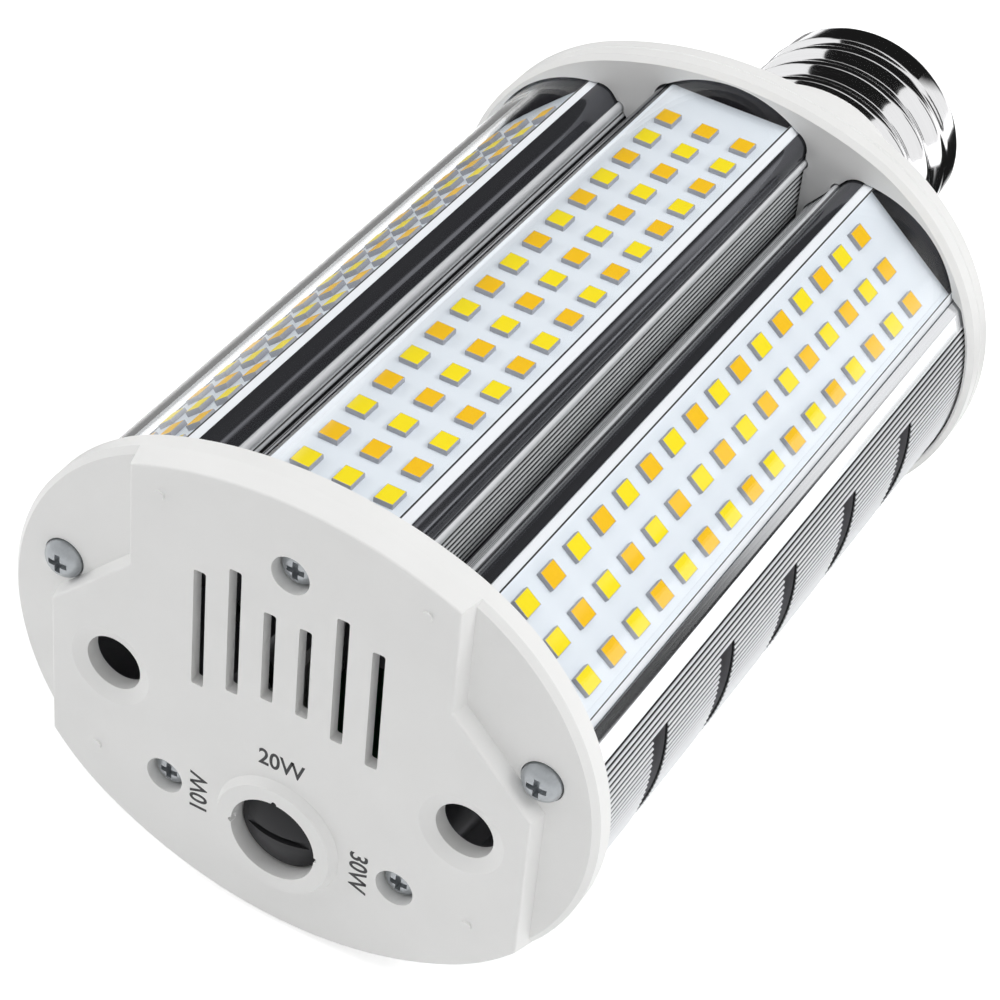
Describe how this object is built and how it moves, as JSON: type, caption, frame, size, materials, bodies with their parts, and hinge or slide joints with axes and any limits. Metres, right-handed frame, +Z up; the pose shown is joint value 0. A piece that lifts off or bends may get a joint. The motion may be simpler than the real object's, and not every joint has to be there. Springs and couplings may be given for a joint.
{
  "type": "led wall pack bulb",
  "caption": "Screw-in LED lamp for wall lights: ribbed aluminium body, fan of LED boards under clear covers, vented oval front cap with a power dial, mogul screw base.",
  "frame": {"origin": "on the lamp's axis, where the screw shell leaves the rear housing", "axes": "+Y along the axis towards the tip of the screw base, +Z up through the centre LED board, +X across"},
  "size_m": [0.096, 0.1993, 0.0801],
  "materials": {
    "white_plastic": "satin moulded",
    "extruded_aluminium": "bright extruded",
    "clear_cover": "clear extruded acrylic",
    "board_white": "white solder resist",
    "led_warm": "phosphor resin",
    "led_cool": "phosphor resin",
    "dial_black": "fine moulded grain",
    "steel": "nickel plated",
    "seal_rubber": "dull",
    "shell_plated": "bright nickel plate",
    "insulator_black": "moulded",
    "contact_brass": "bright",
    "circuit_green": "solder resist",
    "tray_plastic": "moulded",
    "component_dark": "moulded",
    "component_blue": "sleeved",
    "lead_red": "insulated",
    "lead_white": "insulated"
  },
  "bodies": {
    "lamp": {"base_insulator": "insulator_black", "bulk_capacitors": "component_blue", "cap_screws": "steel", "centre_contact": "contact_brass", "centre_lead": "lead_red", "cool_leds_centre": "led_cool", "cool_leds_left": "led_cool", "cool_leds_right": "led_cool", "cover_centre": "clear_cover", "cover_left": "clear_cover", "cover_right": "clear_cover", "driver_board": "circuit_green", "driver_tray": "tray_plastic", "ear_screws": "steel", "film_capacitor": "component_blue", "filter_choke": "component_dark", "front_cap": "white_plastic", "front_gasket": "seal_rubber", "heat_sink": "extruded_aluminium", "led_board_centre": "board_white", "led_board_left": "board_white", "led_board_right": "board_white", "led_leads": "lead_red", "power_transistor": "component_dark", "rear_gasket": "seal_rubber", "rear_housing": "white_plastic", "rear_ring": "white_plastic", "rear_screws": "steel", "rotary_switch": "component_dark", "screw_shell": "shell_plated", "shell_lead": "lead_white", "switch_board": "circuit_green", "switch_board_screws": "steel", "transformer": "component_dark", "warm_leds_centre": "led_warm", "warm_leds_left": "led_warm", "warm_leds_right": "led_warm"},
    "dial": {"power_dial": "dial_black", "switch_shaft": "steel"}
  },
  "joints": [
    {"name": "power_select", "type": "hinge", "parent": "lamp", "child": "dial", "pos_m": [0, -0.1566, -0.022], "axis": [0, -1, 0], "range_deg": [0, 180]}
  ]
}
